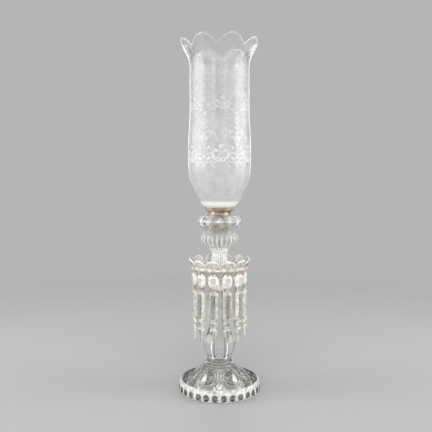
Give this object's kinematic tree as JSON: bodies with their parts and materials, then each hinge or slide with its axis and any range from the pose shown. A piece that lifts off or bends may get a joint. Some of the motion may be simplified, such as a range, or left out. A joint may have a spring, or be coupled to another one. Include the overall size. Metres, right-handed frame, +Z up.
{
  "type": "hurricane candle holder",
  "caption": "Pressed glass stick with a lobed candle nozzle, a petalled pan hung with beads and long prisms, a brass gallery and a tall scalloped glass shade.",
  "frame": {"origin": "centre of the foot on the surface that the holder stands on", "axes": "+Z up along the stem, -Y towards the side that the picture shows, +X to its right"},
  "size_m": [0.1326, 0.132, 0.5604],
  "materials": {
    "clear_glass": "fire-polished pressed glass with a faint straw tint",
    "etched_glass": "clear blown glass, finely etched",
    "cut_crystal": "polished flat facets",
    "aged_brass": "aged, satin",
    "brass_wire": "drawn, slightly dull",
    "felt": "thin pressed felt"
  },
  "bodies": {
    "base_body": {"pressed_base": "clear_glass", "stem_socket": "aged_brass", "lower_washer": "felt"},
    "pan_body": {"bobeche": "clear_glass", "upper_washer": "felt", "eye_pin_01": "brass_wire", "eye_pin_02": "brass_wire", "eye_pin_03": "brass_wire", "eye_pin_04": "brass_wire", "eye_pin_05": "brass_wire", "eye_pin_06": "brass_wire", "eye_pin_07": "brass_wire", "eye_pin_08": "brass_wire", "eye_pin_09": "brass_wire", "eye_pin_10": "brass_wire", "eye_pin_11": "brass_wire", "eye_pin_12": "brass_wire"},
    "screw_body": {"nozzle_screw": "aged_brass"},
    "nozzle_body": {"nozzle": "clear_glass"},
    "gallery_body": {"candle_cup": "aged_brass", "shade_gallery": "aged_brass"},
    "shade_body": {"shade": "etched_glass"},
    "bead_body_01": {"bead_01": "cut_crystal", "link_01": "brass_wire"},
    "prism_body_01": {"prism_01": "cut_crystal"},
    "bead_body_02": {"bead_02": "cut_crystal", "link_02": "brass_wire"},
    "prism_body_02": {"prism_02": "cut_crystal"},
    "bead_body_03": {"bead_03": "cut_crystal", "link_03": "brass_wire"},
    "prism_body_03": {"prism_03": "cut_crystal"},
    "bead_body_04": {"bead_04": "cut_crystal", "link_04": "brass_wire"},
    "prism_body_04": {"prism_04": "cut_crystal"},
    "bead_body_05": {"bead_05": "cut_crystal", "link_05": "brass_wire"},
    "prism_body_05": {"prism_05": "cut_crystal"},
    "bead_body_06": {"bead_06": "cut_crystal", "link_06": "brass_wire"},
    "prism_body_06": {"prism_06": "cut_crystal"},
    "bead_body_07": {"bead_07": "cut_crystal", "link_07": "brass_wire"},
    "prism_body_07": {"prism_07": "cut_crystal"},
    "bead_body_08": {"bead_08": "cut_crystal", "link_08": "brass_wire"},
    "prism_body_08": {"prism_08": "cut_crystal"},
    "bead_body_09": {"bead_09": "cut_crystal", "link_09": "brass_wire"},
    "prism_body_09": {"prism_09": "cut_crystal"},
    "bead_body_10": {"bead_10": "cut_crystal", "link_10": "brass_wire"},
    "prism_body_10": {"prism_10": "cut_crystal"},
    "bead_body_11": {"bead_11": "cut_crystal", "link_11": "brass_wire"},
    "prism_body_11": {"prism_11": "cut_crystal"},
    "bead_body_12": {"bead_12": "cut_crystal", "link_12": "brass_wire"},
    "prism_body_12": {"prism_12": "cut_crystal"}
  },
  "joints": [
    {"name": "bobeche_turn", "type": "hinge", "parent": "base_body", "child": "pan_body", "pos_m": [0, 0, 0.185], "axis": [0, 0, 1], "continuous": true},
    {"name": "nozzle_rise", "type": "slide", "parent": "base_body", "child": "screw_body", "axis": [0, 0, 1], "range_m": [0, 0.0126]},
    {"name": "nozzle_turn", "type": "hinge", "parent": "screw_body", "child": "nozzle_body", "pos_m": [0, 0, 0.1926], "axis": [0, 0, 1], "range_deg": [0, 3600]},
    {"name": "gallery_lift", "type": "slide", "parent": "nozzle_body", "child": "gallery_body", "axis": [0, 0, 1], "range_m": [0, 0.045]},
    {"name": "shade_lift", "type": "slide", "parent": "gallery_body", "child": "shade_body", "axis": [0, 0, 1], "range_m": [0, 0.06]},
    {"name": "bead_swing_01", "type": "hinge", "parent": "pan_body", "child": "bead_body_01", "pos_m": [-0.00934, -0.04044, 0.19525], "axis": [-0.9744, 0.225, 0], "range_deg": [-5, 45]},
    {"name": "prism_swing_01", "type": "hinge", "parent": "bead_body_01", "child": "prism_body_01", "pos_m": [-0.00934, -0.04044, 0.16835], "axis": [-0.9744, 0.225, 0], "range_deg": [-4, 55]},
    {"name": "bead_swing_02", "type": "hinge", "parent": "pan_body", "child": "bead_body_02", "pos_m": [0.01213, -0.03969, 0.19525], "axis": [-0.9563, -0.2924, 0], "range_deg": [-5, 45]},
    {"name": "prism_swing_02", "type": "hinge", "parent": "bead_body_02", "child": "prism_body_02", "pos_m": [0.01213, -0.03969, 0.16835], "axis": [-0.9563, -0.2924, 0], "range_deg": [-4, 55]},
    {"name": "bead_swing_03", "type": "hinge", "parent": "pan_body", "child": "bead_body_03", "pos_m": [0.03035, -0.0283, 0.19525], "axis": [-0.682, -0.7314, 0], "range_deg": [-5, 45]},
    {"name": "prism_swing_03", "type": "hinge", "parent": "bead_body_03", "child": "prism_body_03", "pos_m": [0.03035, -0.0283, 0.16835], "axis": [-0.682, -0.7314, 0], "range_deg": [-4, 55]},
    {"name": "bead_swing_04", "type": "hinge", "parent": "pan_body", "child": "bead_body_04", "pos_m": [0.04044, -0.00934, 0.19525], "axis": [-0.225, -0.9744, 0], "range_deg": [-5, 45]},
    {"name": "prism_swing_04", "type": "hinge", "parent": "bead_body_04", "child": "prism_body_04", "pos_m": [0.04044, -0.00934, 0.16835], "axis": [-0.225, -0.9744, 0], "range_deg": [-4, 55]},
    {"name": "bead_swing_05", "type": "hinge", "parent": "pan_body", "child": "bead_body_05", "pos_m": [0.03969, 0.01213, 0.19525], "axis": [0.2924, -0.9563, 0], "range_deg": [-5, 45]},
    {"name": "prism_swing_05", "type": "hinge", "parent": "bead_body_05", "child": "prism_body_05", "pos_m": [0.03969, 0.01213, 0.16835], "axis": [0.2924, -0.9563, 0], "range_deg": [-4, 55]},
    {"name": "bead_swing_06", "type": "hinge", "parent": "pan_body", "child": "bead_body_06", "pos_m": [0.0283, 0.03035, 0.19525], "axis": [0.7314, -0.682, 0], "range_deg": [-5, 45]},
    {"name": "prism_swing_06", "type": "hinge", "parent": "bead_body_06", "child": "prism_body_06", "pos_m": [0.0283, 0.03035, 0.16835], "axis": [0.7314, -0.682, 0], "range_deg": [-4, 55]},
    {"name": "bead_swing_07", "type": "hinge", "parent": "pan_body", "child": "bead_body_07", "pos_m": [0.00934, 0.04044, 0.19525], "axis": [0.9744, -0.225, 0], "range_deg": [-5, 45]},
    {"name": "prism_swing_07", "type": "hinge", "parent": "bead_body_07", "child": "prism_body_07", "pos_m": [0.00934, 0.04044, 0.16835], "axis": [0.9744, -0.225, 0], "range_deg": [-4, 55]},
    {"name": "bead_swing_08", "type": "hinge", "parent": "pan_body", "child": "bead_body_08", "pos_m": [-0.01213, 0.03969, 0.19525], "axis": [0.9563, 0.2924, 0], "range_deg": [-5, 45]},
    {"name": "prism_swing_08", "type": "hinge", "parent": "bead_body_08", "child": "prism_body_08", "pos_m": [-0.01213, 0.03969, 0.16835], "axis": [0.9563, 0.2924, 0], "range_deg": [-4, 55]},
    {"name": "bead_swing_09", "type": "hinge", "parent": "pan_body", "child": "bead_body_09", "pos_m": [-0.03035, 0.0283, 0.19525], "axis": [0.682, 0.7314, 0], "range_deg": [-5, 45]},
    {"name": "prism_swing_09", "type": "hinge", "parent": "bead_body_09", "child": "prism_body_09", "pos_m": [-0.03035, 0.0283, 0.16835], "axis": [0.682, 0.7314, 0], "range_deg": [-4, 55]},
    {"name": "bead_swing_10", "type": "hinge", "parent": "pan_body", "child": "bead_body_10", "pos_m": [-0.04044, 0.00934, 0.19525], "axis": [0.225, 0.9744, 0], "range_deg": [-5, 45]},
    {"name": "prism_swing_10", "type": "hinge", "parent": "bead_body_10", "child": "prism_body_10", "pos_m": [-0.04044, 0.00934, 0.16835], "axis": [0.225, 0.9744, 0], "range_deg": [-4, 55]},
    {"name": "bead_swing_11", "type": "hinge", "parent": "pan_body", "child": "bead_body_11", "pos_m": [-0.03969, -0.01213, 0.19525], "axis": [-0.2924, 0.9563, 0], "range_deg": [-5, 45]},
    {"name": "prism_swing_11", "type": "hinge", "parent": "bead_body_11", "child": "prism_body_11", "pos_m": [-0.03969, -0.01213, 0.16835], "axis": [-0.2924, 0.9563, 0], "range_deg": [-4, 55]},
    {"name": "bead_swing_12", "type": "hinge", "parent": "pan_body", "child": "bead_body_12", "pos_m": [-0.0283, -0.03035, 0.19525], "axis": [-0.7314, 0.682, 0], "range_deg": [-5, 45]},
    {"name": "prism_swing_12", "type": "hinge", "parent": "bead_body_12", "child": "prism_body_12", "pos_m": [-0.0283, -0.03035, 0.16835], "axis": [-0.7314, 0.682, 0], "range_deg": [-4, 55]}
  ],
  "couplings": [
    {"joint": "nozzle_rise", "follows": "nozzle_turn", "m_per_rad": 0.00019894}
  ]
}
